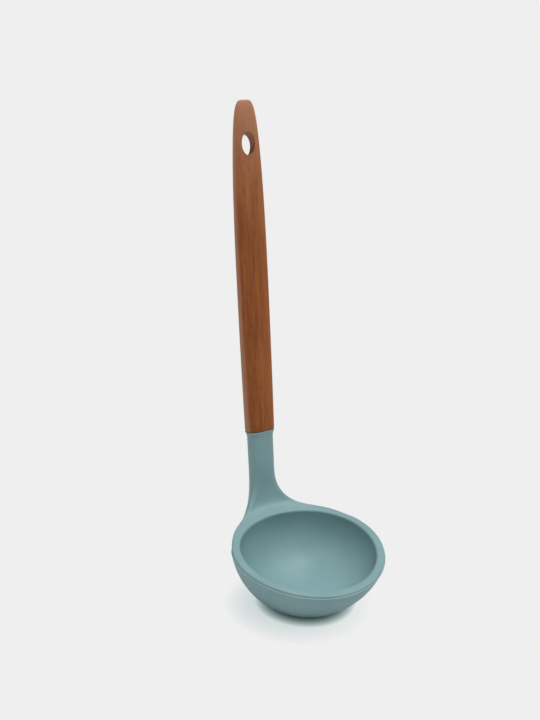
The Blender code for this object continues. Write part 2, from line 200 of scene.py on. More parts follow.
def wall_point(theta, share, radius, drop, depth, fullness=BOWL_FULLNESS):
    """Point on a wall of the bowl.

    It reaches out by the rim's outline times the cosine of the share of a quarter turn, and has
    fallen by the sine of it to the power 2 / fullness. The wall starts this drop under the rim's
    face and is as deep as it would be without the resting flat."""
    turn = share * np.pi / 2
    reach = rim_outline(theta, radius)
    fall = np.sin(turn) ** (2.0 / fullness)
    x = reach * np.cos(turn) * np.sin(theta)
    y = reach * np.cos(turn) * np.cos(theta) - BOWL_OFFSET * (1.0 - fall)
    top = RIM_HEIGHT + reach * np.cos(theta) * np.tan(np.radians(RIM_SLOPE)) - drop
    z = top * (1.0 - fall) + (RIM_HEIGHT - depth) * fall
    return np.stack(np.broadcast_arrays(x, y, z), axis=-1)


def share_at(fall, fullness=BOWL_FULLNESS):
    """The share at which a wall has fallen this part of its depth."""
    return np.arcsin(fall ** (fullness / 2.0)) * 2.0 / np.pi


def flat_share(theta, radius, inset):
    """The share at which the outer wall reaches the level of the resting flat."""
    slope = np.tan(np.radians(RIM_SLOPE))
    fall = RIM_HEIGHT + rim_outline(theta, radius) * np.cos(theta) * slope - 2 * inset
    return share_at(fall / (fall + BASE_CUT))


def steps(start, end, count):
    """Evenly spaced numbers after start, up to end, as a column."""
    return np.linspace(start, end, count + 1)[1:, None]


def rounded(start, corner, end, count):
    """Rows from start to end, without start, on the curve that the corner pulls."""
    u = steps(0.0, 1.0, count)[:, :, None]
    return (1 - u) ** 2 * start + 2 * u * (1 - u) * corner + u ** 2 * end


def bowl_rings(inset, web_drop, detail):
    """Rings from the resting flat up the outside, over the rim and down the inside.

    Returns them with the numbers of the rings between which the web lies."""
    theta = np.arange(COLUMNS * detail) * 2 * np.pi / (COLUMNS * detail)
    outer, inner = RIM_RADIUS - inset, RIM_RADIUS - RIM_WALL + inset
    edge = max(RIM_EDGE_RADIUS - inset, LEAST_EDGE)
    outer_depth = RIM_HEIGHT + BASE_CUT - inset
    inner_depth = RIM_HEIGHT - BOWL_FLOOR + inset
    flat = flat_share(theta, outer, inset)
    web = share_at(web_drop / (RIM_HEIGHT + BASE_CUT))
    under_edge = share_at(edge / outer_depth)
    past_edge = share_at(edge / inner_depth, INSIDE_FULLNESS)

    base = wall_point(theta, flat, outer, inset, outer_depth)[None]
    base[:, :, 2] = inset
    up_wall = np.linspace(flat, web, LOWER_WALL * detail + 1)[1:]
    to_edge = steps(web, under_edge, UPPER_WALL * detail) + 0 * theta
    wall = wall_point(theta, np.concatenate([up_wall, to_edge]), outer, inset, outer_depth)
    over_edge = rounded(wall[-1], wall_point(theta, 0.0, outer, inset, RIM_HEIGHT),
                        wall_point(theta, 0.0, outer - edge, inset, RIM_HEIGHT), EDGE * detail)
    inner_start = wall_point(theta, 0.0, inner + edge, inset, RIM_HEIGHT)
    mix = steps(0.0, 1.0, FACE * detail)[:, :, None]
    face = over_edge[-1] * (1 - mix) + inner_start * mix
    into_bowl = rounded(inner_start, wall_point(theta, 0.0, inner, inset, RIM_HEIGHT),
                        wall_point(theta, past_edge, inner, inset, inner_depth,
                                   INSIDE_FULLNESS), EDGE * detail)
    inside = wall_point(theta, steps(past_edge, INSIDE_FLOOR_SHARE, INSIDE * detail), inner, inset,
                        inner_depth, INSIDE_FULLNESS)
    rings = np.concatenate([base, wall, over_edge, face, into_bowl, inside])
    web_start = LOWER_WALL * detail
    return rings, web_start, web_start + (UPPER_WALL + EDGE + FACE) * detail


bowl_shape, *web_rows = bowl_rings(0.0, WEB_DROP, DETAIL)
print("rings of the bowl:", bowl_shape.shape, "web between rings", web_rows)

# %% [markdown]
# ## The neck and the web
#
# From the neck the silicone spreads into the rim like the web between thumb and finger. A fillet
# from a modelling tool can't make that, because it runs into the bowl's wall, both edges of the
# rim and its flat face at once. It is worked out as a thin elastic sheet instead: clamped to the
# neck at one end and to the bowl at the other, it takes the shape that bends least. Round the
# neck the sheet is a sum of waves, and each wave is a small set of linear equations.

# %% Sizes of the neck, and its section
JOINT = np.array([0.0, 0.0600 - BOWL_OFFSET, RIM_HEIGHT + 0.0546])
LEAN = np.radians(3.26)
UP_HANDLE = np.array([0.0, np.sin(LEAN), np.cos(LEAN)])
BACK = np.array([0.0, np.cos(LEAN), -np.sin(LEAN)])
ACROSS = np.array([1.0, 0.0, 0.0])
NECK_WIDTH, NECK_THICKNESS = 0.0158, 0.0108
NECK_STRAIGHT = 0.0267
NECK_CORNER = 50.0  # angle on the neck's section at which its front ends and its side begins
SECTION_POWER = 3.2  # 2 is an ellipse, and a larger number is squarer
WEB_ANGLE = 67.5  # how far the web reaches round the bowl, to each side
WEB_PULLS = ((2.3, 1.46, 2.6), (1.4, 0.5, 0.5))  # neck, then bowl: at the front, side and back
WEB_LOOPS = 8  # from neck to bowl, times the detail
CORE_WEB_ANGLE, CORE_WEB_DROP = 30.0, 0.0130
CORE_WEB_PULLS = ((2.3, 1.8, 2.4), (1.4, 0.7, 0.6))
SHEET_STIFFNESS = 0.1  # how much bending round the loops counts against bending along the sheet


def axis_point(along):
    """Point on the axis of neck and handle, this far above the joint."""
    return JOINT + np.multiply.outer(along, UP_HANDLE)


def place(along, x, back):
    """Point this far above the joint, to the side and to the back of the axis."""
    return (JOINT + np.asarray(along)[..., None] * UP_HANDLE + np.asarray(x)[..., None] * ACROSS
            + np.asarray(back)[..., None] * BACK)


def section(along, width, thickness, angles):
    """Squared oval across the axis: sine and cosine of the angle to the power 2 / SECTION_POWER,
    with angle 0 at the front and a quarter turn at the right."""
    sine, cosine = np.sin(angles), np.cos(angles)
    x = width / 2 * np.sign(sine) * np.abs(sine) ** (2.0 / SECTION_POWER)
    back = -thickness / 2 * np.sign(cosine) * np.abs(cosine) ** (2.0 / SECTION_POWER)
    return place(along + 0.0 * x, x, back)


# %% The web's edge on the bowl


def web_reach(web_angle, detail):
    """Columns of the bowl's grid from its middle to the web's side."""
    return round(web_angle / 360.0 * COLUMNS * detail)


def web_path(web_start, web_end, web_angle, detail):
    """Ring and column of each point round the web's edge, with the angles on the neck's section
    that belong to them: front, right side, back, left side."""
    reach, side, corner = web_reach(web_angle, detail), web_end - web_start, NECK_CORNER
    over = np.arange(-reach, reach)
    up = np.arange(web_end, web_start, -1)
    ring = np.concatenate([np.full(2 * reach, web_end), up, np.full(2 * reach, web_start),
                           up[::-1] - 1])
    column = np.concatenate([over, np.full(side, reach), -over, np.full(side, -reach)])
    ends = ((-corner, corner, 2 * reach), (corner, 180 - corner, side),
            (180 - corner, 180 + corner, 2 * reach), (180 + corner, 360 - corner, side))
    angles = [np.linspace(start, end, count + 1)[:-1] for start, end, count in ends]
    return ring, column, np.radians(np.concatenate(angles))


def ways_out(rings, ring, column, detail):
    """Direction in which the bowl's surface leaves the web, at each point of its edge. It turns
    the corners gently because it is averaged along the edge."""
    count = rings.shape[1]
    here = rings[ring, column % count]
    sideways = rings[ring, (column + np.sign(column)) % count] - here
    at_top = (ring == ring.max())[:, None]
    along = np.where(at_top, here - rings[ring - 1, column % count],
                     rings[ring - 1, column % count] - here)
    at_side = (np.abs(column) == column.max())[:, None]
    outward = unit(np.where(at_side, sideways, along))
    for _ in range(2 * detail ** 2):
        outward = unit(outward + 0.5 * (np.roll(outward, 1, 0) + np.roll(outward, -1, 0)))
    return outward


# %% The sheet that bends least


def taut_sheet(start, start_pull, end, end_pull, spans):
    """Closed loops between two closed loops, along the sheet that bends as little as it can.

    The energy is the square of the second difference from loop to loop, plus what bending round
    the loop adds to each wave. A pull is the direction and the speed with which the sheet leaves
    its first loop or arrives at its last one."""
    count, loops, step = len(start), spans + 1, 1.0 / spans
    bend = np.diag(-2.0 * np.ones(loops)) + np.eye(loops, k=1) + np.eye(loops, k=-1)
    bend[0, 1] = bend[-1, -2] = 2.0
    ends = np.ones(loops)
    ends[[0, -1]] = 0.5
    weighted = bend.T @ np.diag(ends)
    stretch = np.diff(np.eye(loops), axis=0)
    waves = [np.fft.fft(part, axis=0) for part in (start, start_pull, end, end_pull)]
    turn = (2.0 - 2.0 * np.cos(2 * np.pi * np.arange(count) / count)) * count ** 2
    turn = (turn * SHEET_STIFFNESS)[:, None, None]
    energy = (weighted @ bend / step ** 4 + 2 * turn * (stretch.T @ stretch) / step ** 2
              + turn ** 2 * np.eye(loops))
    pulls = np.zeros((count, loops, 3), complex)
    pulls[:, 0] = -2.0 * waves[1] / step ** 3
    pulls[:, -1] = 2.0 * waves[3] / step ** 3
    fixed = np.stack([waves[0], waves[2]], axis=1)
    known = weighted @ pulls + energy[:, :, [0, -1]] @ fixed
    sheet = np.empty((loops, count, 3), complex)
    sheet[0], sheet[-1] = waves[0], waves[2]
    sheet[1:-1] = -np.linalg.solve(energy[:, 1:-1, 1:-1], known[:, 1:-1]).transpose(1, 0, 2)
    return np.fft.ifft(sheet, axis=1).real


def web_sheet(rings, ring, column, angles, inset, pulls, detail):
    """The web, as a sheet that leaves the neck along its axis and runs into the bowl. Its pulls
    change from front to side to back with the square of the angle's cosine."""
    neck = section(-NECK_STRAIGHT, NECK_WIDTH - 2 * inset, NECK_THICKNESS - 2 * inset, angles)
    edge = rings[ring, column % rings.shape[1]]
    gap = np.linalg.norm(edge - neck, axis=1)[:, None]
    front = np.clip(np.cos(angles), 0, 1) ** 2
    behind = np.clip(-np.cos(angles), 0, 1) ** 2
    weights = np.stack([front, 1 - front - behind, behind], axis=1)
    neck_pull = -UP_HANDLE * gap * (weights @ pulls[0])[:, None]
    edge_pull = ways_out(rings, ring, column, detail) * gap * (weights @ pulls[1])[:, None]
    return taut_sheet(neck, neck_pull, edge, edge_pull, WEB_LOOPS * detail)


def head_grids(inset, web_angle, web_drop, pulls, detail):
    """The bowl and the web at this inset: their grids, the web's sheet and the neck's angles."""
    rings, web_start, web_end = bowl_rings(inset, web_drop, detail)
    ring, column, angles = web_path(web_start, web_end, web_angle, detail)
    reach = column.max()
    rows, columns = np.meshgrid(np.arange(len(rings) - 1), np.arange(rings.shape[1]), indexing="ij")
    columns = np.where(columns >= rings.shape[1] // 2, columns - rings.shape[1], columns)
    in_web = (rows >= web_start) & (rows < web_end) & (columns >= -reach) & (columns < reach)
    sheet = web_sheet(rings, ring, column, angles, inset, pulls, detail)
    sheet[-1] = rings[ring, column % rings.shape[1]]
    return [(rings, True, ~in_web), (sheet, True)], rings, sheet, angles


outer_grids, rings, web, neck_angles = head_grids(0.0, WEB_ANGLE, WEB_DROP, WEB_PULLS, DETAIL)
print("web grid:", web.shape, "neck loop points:", len(neck_angles))

# %% [markdown]
# ## The collar, and the head as one skin
#
# At its top the neck widens in a short flare to meet the foot of the handle, and its edge is
# rounded a little, as silicone always comes out of a mould. The inside of the skin follows the
# core, as coarsely as the solid's does, because nothing of it shows. The two end in loops with
# different numbers of points, which triangles join in the order of their angles.

# %% The collar and the head
COLLAR_WIDTH, COLLAR_THICKNESS = 0.0183, 0.0115
COLLAR_HEIGHT = 0.0046
COLLAR_EDGE = 0.0004
COLLAR_LOOPS, COLLAR_EDGE_LOOPS, NECK_LOOPS, FLOOR_LOOPS = 15, 6, 12, 9
SKIN_THICKNESS = 0.0014


def collar(angles):
    """Loops from the straight neck to the joint: the width grows with the square of the height,
    and a quarter of a circle turns in to the top face."""
    rise = np.linspace(0.0, 1.0, COLLAR_LOOPS)
    flare = rise ** 2
    heights = -COLLAR_HEIGHT + (COLLAR_HEIGHT - COLLAR_EDGE) * rise
    turn = np.radians(np.linspace(0.0, 90.0, COLLAR_EDGE_LOOPS))[1:]
    heights = np.append(heights, -COLLAR_EDGE + COLLAR_EDGE * np.sin(turn))
    trims = np.append(0.0 * rise, COLLAR_EDGE * (1.0 - np.cos(turn)))
    flare = np.append(flare, 1.0 + 0.0 * turn)
    widths = NECK_WIDTH + (COLLAR_WIDTH - NECK_WIDTH) * flare - 2 * trims
    depths = NECK_THICKNESS + (COLLAR_THICKNESS - NECK_THICKNESS) * flare - 2 * trims
    straight = np.linspace(-NECK_STRAIGHT, -COLLAR_HEIGHT, NECK_LOOPS)[:-1]
    heights = np.append(straight, heights)
    widths = np.append(NECK_WIDTH + 0.0 * straight, widths)
    depths = np.append(NECK_THICKNESS + 0.0 * straight, depths)
    return section(heights[:, None], widths[:, None], depths[:, None], angles[None, :])


def uneven_join(first, first_angles, second, second_angles):
    """Triangles between two loops: the steps of both are sorted by the angle they end at."""
    ends = np.concatenate([first_angles[1:], first_angles[:1] + 2 * np.pi,
                           second_angles[1:], second_angles[:1] + 2 * np.pi])
    on_second = (np.arange(len(ends)) >= len(first))[np.argsort(ends, kind="stable")]
    i = np.cumsum(~on_second) - ~on_second
    j = np.cumsum(on_second) - on_second
    next_one = np.where(on_second[:, None], second[(j + 1) % len(second)],
                        first[(i + 1) % len(first)])
    return np.stack([first[i % len(first)], next_one, second[j % len(second)]], axis=1)


def make_head():
    """Bowl, web, neck and collar outside, the cavity for the core inside, and the faces that join
    them: the resting flat, the two ends of the cavity and the ring at the joint."""
    theta = np.arange(rings.shape[1]) * 2 * np.pi / rings.shape[1]
    shares = np.linspace(INSIDE_FLOOR_SHARE, 1.0, FLOOR_LOOPS)[:, None]
    bottom = wall_point(theta, shares, RIM_RADIUS - RIM_WALL, 0.0, RIM_HEIGHT - BOWL_FLOOR,
                        INSIDE_FULLNESS)
    bottom[0] = rings[-1]
    bottom[-1] = bottom[-1].mean(axis=0)
    neck = collar(neck_angles)
    neck[0] = web[0]
    cavity, cavity_rings, cavity_web, cavity_angles = head_grids(
        SKIN_THICKNESS, CORE_WEB_ANGLE, CORE_WEB_DROP, CORE_WEB_PULLS, 1)
    mouth = section(0.0, NECK_WIDTH - 2 * SKIN_THICKNESS, NECK_THICKNESS - 2 * SKIN_THICKNESS,
                    cavity_angles)
    cavity.append((np.stack([cavity_web[0], mouth]), True))
    flats = [fan(rings[0]), fan(cavity_rings[0]), fan(cavity_rings[-1]),
             uneven_join(neck[-1], neck_angles, mouth, cavity_angles)]
    return piece_from("ladle_head", outer_grids + [(neck, True), (bottom, True)] + cavity, flats)


head = make_head()
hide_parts("silicone_skin")
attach(head, "root")

# %% [markdown]
# ## The parting line
#
# The two halves of the mould meet just under the rim's outer edge and along the sides of the neck,
# and the silicone that creeps between them leaves a thin raised line. It could be a bump in the
# material, but a real line is a shape that catches the light, so it is a half round bead that is
# carried along a path on the skin. The path needs a point and a normal for each step.

# %% Path of the parting line
LINE_DROP = 0.0022  # below the rim's face
LINE_WIDTH = 0.0005  # a real one is nearer 0.2 mm, which is too fine to show
LINE_HEIGHT = 0.0003
LINE_STEPS = 400  # round the front of the bowl
NUDGE = 1e-4  # a small step on the wall, to find which way it faces
OUTER_DEPTH = RIM_HEIGHT + BASE_CUT


def grid_normals(points):
    """Normal at each point of a grid that closes round its columns: one way across the other."""
    down = np.gradient(points, axis=0)
    across = np.roll(points, -1, axis=1) - np.roll(points, 1, axis=1)
    return unit(np.cross(down, across))


def between(values, index):
    """Rows of a closed loop of values at whole and broken numbers."""
    low = np.floor(index).astype(int)
    share = (index - low)[:, None]
    rows = np.arange(len(index))
    count = values.shape[1]
    return values[rows, low % count] * (1 - share) + values[rows, (low + 1) % count] * share


def line_on_bowl():
    """Round the front of the bowl at an even drop below the rim."""
    theta = np.radians(np.linspace(WEB_ANGLE, 360.0 - WEB_ANGLE, LINE_STEPS))
    share = share_at(LINE_DROP / OUTER_DEPTH)
    around = [wall_point(theta + turn, share + down, RIM_RADIUS, 0.0, OUTER_DEPTH)
              for turn, down in ((0, 0), (NUDGE, 0), (0, NUDGE))]
    return around[0], unit(np.cross(around[2] - around[0], around[1] - around[0]))


def line_on_web(side):
    """From the bowl up the web to the neck's side, in even steps of the web's own grid: the line
    starts under the rim's edge and ends at the middle of the neck's side."""
    share = np.linspace(1.0, 0.0, len(web))
    drops = np.array([LINE_DROP, WEB_DROP, RIM_EDGE_RADIUS])
    at_line, at_web, at_edge = share_at(drops / OUTER_DEPTH)
    on_bowl = (FACE + EDGE + UPPER_WALL * (at_line - at_edge) / (at_web - at_edge)) * DETAIL
    on_neck = (FACE + EDGE + UPPER_WALL) * DETAIL / 2
    down_side = on_bowl * share + on_neck * (1 - share)
    right_start = 2 * web_reach(WEB_ANGLE, DETAIL)
    index = right_start + down_side if side > 0 else web.shape[1] - down_side
    return between(web[::-1], index), unit(between(grid_normals(web)[::-1], index))


right_points, right_normals = line_on_web(1)
left_points, left_normals = line_on_web(-1)
bowl_points, bowl_normals = line_on_bowl()
gaps = np.linalg.norm(bowl_points[[0, -1]] - [right_points[0], left_points[0]], axis=1)
print("gap between the paths on bowl and web in mm:", np.round(gaps * 1000, 3))

# %% The bead along the path


def neck_line(side):
    """Up the neck's side to the top of the collar."""
    loops = collar(np.array([side * np.pi / 2]))[:-3, 0]
    return loops[1:], np.tile(side * ACROSS, (len(loops) - 1, 1))


def bead(points, normals, width, height, sides=8):
    """Half round bead: half an oval above the surface, and a flat back just under it that is
    narrower by a fifth."""
    ahead = unit(np.gradient(points, axis=0))
    beside = unit(np.cross(ahead, normals))
    turn = np.radians(np.linspace(0.0, 180.0, sides))
    out = np.append(height * np.sin(turn), -height * np.ones(2))
    aside = np.append(width / 2 * np.cos(turn), width / 2 * np.array([-0.8, 0.8]))
    return (points[:, None] + aside[None, :, None] * beside[:, None]
            + out[None, :, None] * normals[:, None])


def make_parting_line():
    """One bead from the collar down the left side, round the bowl and up the right side."""
    right_up, right_out = neck_line(1)
    left_up, left_out = neck_line(-1)
    points = np.concatenate([left_up[::-1], left_points[::-1], bowl_points[::-1][1:-1],
                             right_points, right_up])
    normals = np.concatenate([left_out[::-1], left_normals[::-1], bowl_normals[::-1][1:-1],
                              right_normals, right_out])
    loops = bead(points, unit(normals), LINE_WIDTH, LINE_HEIGHT)
    return piece_from("parting_line", [(loops, True)], [fan(loops[0]), fan(loops[-1])])


parting_line = make_parting_line()
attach(parting_line, "root")

# %% [markdown]
# ## The wooden handle
#
# The handle is sawn from a board, shaped on a spindle and sanded, so that its front stays nearly
# flat while its edges are round. A formula gives its width and its thickness for each distance
# from the tip. Its section is the squared oval again, this time by the angle from the middle,
# which spreads the points more evenly over the flat front.

# %% Sizes of the handle
HANDLE_LENGTH = 0.1995
HANDLE_WIDTH, HANDLE_FOOT_WIDTH = 0.0198, 0.0182
HANDLE_FOOT_THICKNESS, HANDLE_TIP_THICKNESS = 0.0115, 0.0060
HANDLE_WIDEST_FROM_TIP = 0.0957
TIP_TAPER, TIP_FULLNESS, TIP_FLAT_WIDTH = 1.95, 0.243, 0.0052
TIP_ROUNDING, TIP_FLAT_THICKNESS = 0.009, 0.0040
TIP_EDGE, FOOT_EDGE = 0.0006, 0.0007  # the sanded edges at its two ends
CLEARANCE = 0.0003  # between the wood's foot and the silicone
SOCKET_WIDTH, SOCKET_THICKNESS, SOCKET_DEPTH = 0.0117, 0.0072, 0.0432
SIDES = 128
BODY_LOOPS, CROWDING = 181, 2.2  # loops along the handle, closer together towards the tip
EDGE_LOOPS = 7


def handle_width(from_tip):
    """Width of the front: a power curve opens the tip, and below its widest place it narrows with
    the square of the distance."""
    share = np.clip(from_tip / HANDLE_WIDEST_FROM_TIP, 0.0, 1.0)
    tip = HANDLE_WIDTH * (1.0 - (1.0 - share) ** TIP_TAPER) ** TIP_FULLNESS
    below = np.clip((from_tip - HANDLE_WIDEST_FROM_TIP) / (HANDLE_LENGTH - HANDLE_WIDEST_FROM_TIP),
                    0.0, 1.0)
    return np.maximum(tip, TIP_FLAT_WIDTH) - (HANDLE_WIDTH - HANDLE_FOOT_WIDTH) * below ** 2


def handle_thickness(from_tip):
    """Thickness: it shrinks evenly towards the tip, and along a circle over the last stretch."""
    share = from_tip / HANDLE_LENGTH
    body = HANDLE_TIP_THICKNESS + (HANDLE_FOOT_THICKNESS - HANDLE_TIP_THICKNESS) * share
    near = np.clip(1.0 - from_tip / TIP_ROUNDING, 0.0, 1.0)
    return body - (HANDLE_TIP_THICKNESS - TIP_FLAT_THICKNESS) * (1.0 - np.sqrt(1.0 - near ** 2))


def polar_section(along, width, thickness, angles):
    """The squared oval by the angle from its middle: its own distance in that direction."""
    sine, cosine = np.sin(angles), np.cos(angles)
    out = (np.abs(sine) ** SECTION_POWER + np.abs(cosine) ** SECTION_POWER) ** (-1 / SECTION_POWER)
    return place(along + 0.0 * angles, width / 2 * out * sine, -thickness / 2 * out * cosine)


def wood_loop(from_tip, trim, angles):
    """The handle's section at this distance from the tip, trimmed all round."""
    return polar_section(HANDLE_LENGTH - from_tip, handle_width(from_tip) - 2 * trim,
                         handle_thickness(from_tip) - 2 * trim, angles)


def handle_loops():
    """Distance from the tip and trim of each loop, with a quarter of a circle at both ends. Loops
    of the body keep clear of the two edges by a fifth of their size."""
    body = HANDLE_LENGTH * np.linspace(0.0, 1.0, BODY_LOOPS) ** CROWDING
    foot = HANDLE_LENGTH - CLEARANCE
    body = body[(body > TIP_EDGE * 1.2) & (body < foot - FOOT_EDGE * 1.2)]
    turn = np.radians(np.linspace(0.0, 90.0, EDGE_LOOPS))
    tip = TIP_EDGE * (1 - np.sin(turn))
    end = foot - FOOT_EDGE * (1 - np.sin(turn))
    from_tip = np.concatenate([tip[::-1], body, end])
    trims = np.concatenate([TIP_EDGE * (1 - np.cos(turn))[::-1], 0 * body,
                            FOOT_EDGE * (1 - np.cos(turn))])
    return from_tip, trims


from_tip, trims = handle_loops()
wood_angles = np.arange(SIDES) * 2 * np.pi / SIDES
body_loops = wood_loop(from_tip[:, None], trims[:, None], wood_angles[None, :])
print("handle grid:", body_loops.shape)

# %% [markdown]
# ## The hanging hole
#
# The hole is oval and is bored slanting down to the back. Cutting it with a Boolean works, but
# leaves long thin faces that spoil the light on its rounded edges. Here a block of faces is left
# out of the front and of the back, and the space is filled with loops that change from the
# block's outline into the oval. They lie on the same formula as the face, so no seam shows. Then
# a small curve turns each loop into the wall of the hole.

# %% Where the hole meets the faces
HOLE_WIDTH, HOLE_HEIGHT, HOLE_FROM_TIP = 0.0083, 0.0127, 0.0254
HOLE_SLANT = np.radians(16.5)
HOLE_EDGE = 0.00035
BLOCK_MARGIN, BLOCK_REACH = 0.0052, 13  # above and below the hole, and columns to each side of it
PATCH_LOOPS, HOLE_EDGE_LOOPS, WALL_LOOPS = 15, 7, 12
CLOSING_ROUNDS = 12  # each one brings the oval nearer to the face
ALONG_HOLE = np.cos(HOLE_SLANT) * BACK - np.sin(HOLE_SLANT) * UP_HANDLE
UP_HOLE = np.cos(HOLE_SLANT) * UP_HANDLE + np.sin(HOLE_SLANT) * BACK
HOLE_MIDDLE = axis_point(HANDLE_LENGTH - HOLE_FROM_TIP)


def plan_of(points):
    """Distance to the side and from the tip of points."""
    return points[..., 0], HANDLE_LENGTH - (points - JOINT) @ UP_HANDLE


def face_depth(x, from_tip):
    """How far the face lies from the axis: the squared oval, solved for its other side."""
    share = np.clip(np.abs(x) / (handle_width(from_tip) / 2), 0.0, 0.999)
    return handle_thickness(from_tip) / 2 * (1 - share ** SECTION_POWER) ** (1 / SECTION_POWER)


def on_face(x, from_tip, face):
    """Point on the front (-1) or back (1) face."""
    return place(HANDLE_LENGTH - from_tip, x, face * face_depth(x, from_tip))


def hole_outline(turns, grow, face):
    """The oval, grown by so much, moved along the hole until it lies on the face."""
    oval = (HOLE_MIDDLE + (HOLE_WIDTH / 2 + grow) * np.sin(turns)[:, None] * ACROSS
            + (HOLE_HEIGHT / 2 + grow) * np.cos(turns)[:, None] * UP_HOLE)
    travel = np.zeros(len(turns))
    for _ in range(CLOSING_ROUNDS):
        points = oval + travel[:, None] * ALONG_HOLE
        x, from_tip = plan_of(points)
        travel += (face * face_depth(x, from_tip) - (points - JOINT) @ BACK) / np.cos(HOLE_SLANT)
    return oval + travel[:, None] * ALONG_HOLE


# %% The hole's loops


def block_outline(rows, middle, reach):
    """Row and column of the points round a block of faces, as seen from the front."""
    first, last = rows
    over = np.arange(-reach, reach)
    down = np.arange(first, last)
    row = np.concatenate([np.full(2 * reach, first), down, np.full(2 * reach, last),
                          down[::-1] + 1])
    column = np.concatenate([over, np.full(len(down), reach), -over, np.full(len(down), -reach)])
    return row, (column + middle) % SIDES


def hole_patch(rows, face):
    """Loops from the block's outline over the face to the start of the hole's wall."""
    middle = 0 if face < 0 else SIDES // 2
    row, column = block_outline(rows, middle, BLOCK_REACH)
    border = body_loops[row, column]
    x, down = plan_of(border)
    turns = np.arctan2(x / HOLE_WIDTH, (HOLE_FROM_TIP - down) / HOLE_HEIGHT)
    grown = hole_outline(turns, HOLE_EDGE, face)
    corner = hole_outline(turns, 0.0, face)
    hole_x, hole_down = plan_of(grown)
    mix = np.linspace(0.0, 1.0, PATCH_LOOPS)[:, None]
    sheet = on_face(x * (1 - mix) + hole_x * mix, down * (1 - mix) + hole_down * mix, face)
    sheet[0], sheet[-1] = border, grown
    wall_start = corner - face * HOLE_EDGE * ALONG_HOLE
    return np.concatenate([sheet, rounded(grown, corner, wall_start, HOLE_EDGE_LOOPS)])


block_half = HOLE_HEIGHT / 2 + BLOCK_MARGIN
block_rows = np.searchsorted(from_tip, [HOLE_FROM_TIP - block_half, HOLE_FROM_TIP + block_half])
front_patch, back_patch = hole_patch(block_rows, -1), hole_patch(block_rows, 1)
print("hole patches:", front_patch.shape, back_patch.shape, "between loops", block_rows)

# %% [markdown]
# ## The handle as one piece
#
# The wall of the hole joins the last loop of the front patch to that of the back one. Seen from
# the front both run the same way round only if the back one is matched by its turns, so its
# points are taken in the order of the front's. The foot has the socket for the tang: its rim, its
# wall and its end are more loops of the same number of points.

# %% The handle


def hole_wall(front_end, back_end):
    """Even steps from the front's last loop to the back's."""
    mix = np.linspace(0.0, 1.0, WALL_LOOPS)[:, None, None]
    return front_end * (1 - mix) + back_end * mix


def match_back():
    """The back patch with its points in the order of the front's: turned round, and started where
    side and height agree."""
    mirrored = np.roll(back_patch[:, ::-1], 1, axis=1)
    apart = (mirrored[0] - front_patch[0, 0])[:, [0, 2]]
    return np.roll(mirrored, -np.argmin(np.linalg.norm(apart, axis=1)), axis=1)


def make_handle():
    """Body without the block of faces at the hole, the hole's two patches and its wall, and the
    socket for the tang."""
    rows, columns = np.meshgrid(np.arange(len(from_tip) - 1), np.arange(SIDES), indexing="ij")
    turned = (columns + BLOCK_REACH) % (SIDES // 2)
    in_block = (rows >= block_rows[0]) & (rows < block_rows[1]) & (turned < 2 * BLOCK_REACH)
    back = match_back()
    wall = hole_wall(front_patch[-1], back[-1])
    heights = np.array([CLEARANCE, SOCKET_DEPTH])[:, None]
    socket = polar_section(heights, SOCKET_WIDTH, SOCKET_THICKNESS, wood_angles)
    socket = np.concatenate([body_loops[-1:], socket])
    grids = [(body_loops, True, ~in_block), (front_patch, True), (back, True), (wall, True),
             (socket, True)]
    return piece_from("handle_wood", grids, [fan(body_loops[0]), fan(socket[-1])])


handle = make_handle()
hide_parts("wooden_handle")
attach(handle, "root")

# %% [markdown]
# ## Tools for materials
#
# Colours are written as on a colour chart and turned into the linear numbers that a shader needs.
# One function adds a node with its settings and its links. Sizes of patterns are real ones: noise
# takes the number of features in a metre, which is one divided by their spacing.

# %% Colour and nodes


def linear(hex_colour):
    """The linear colour of an sRGB hex value: a power curve with a straight start."""
    parts = np.array([int(hex_colour[i:i + 2], 16) / 255.0 for i in (1, 3, 5)])
    values = np.where(parts <= 0.04045, parts / 12.92, ((parts + 0.055) / 1.055) ** 2.4)
    return (*values, 1.0)


def set_stops(colour_ramp, stops):
    """Give a colour ramp these stops of (place, hex colour), in rising order."""
    elements = colour_ramp.elements
    elements[0].position, elements[1].position = stops[0][0], stops[-1][0]
    for where, _ in stops[1:-1]:
        elements.new(where)
    for element, (_, colour) in zip(elements, stops):
        element.color = linear(colour)


def add(tree, kind, settings=None, inputs=None):
    """Add a node. An input is a number, a colour, another node (its first output) or a socket. A
    setting is one of the node's own, or the stops of its colour ramp."""
    made = tree.nodes.new(kind)
    for name, value in (settings or {}).items():
        if name == "stops":
            set_stops(made.color_ramp, value)
        else:
            setattr(made, name, value)
    for name, value in (inputs or {}).items():
        if isinstance(value, bpy.types.Node):
            value = value.outputs[0]
        if isinstance(value, bpy.types.NodeSocket):
            tree.links.new(value, made.inputs[name])
        else:
            made.inputs[name].default_value = value
    return made


def new_material(name):
    """An empty material, and the tree to fill."""
    made = bpy.data.materials.new(name)
    made.use_nodes = True
    made.node_tree.nodes.clear()
    return made, made.node_tree


def spread(start, end, low=0.0, high=1.0):
    """Numbers for a Map Range node: from start to end in, from low to high out."""
    return {"From Min": start, "From Max": end, "To Min": low, "To Max": high}


COLOURS = {"data_type": "RGBA"}  # a Mix node that mixes colours
MIX_A, MIX_B, MIXED = 6, 7, 2  # its two inputs and its output
print("the grey #808080 in linear numbers:", round(linear("#808080")[0], 3))
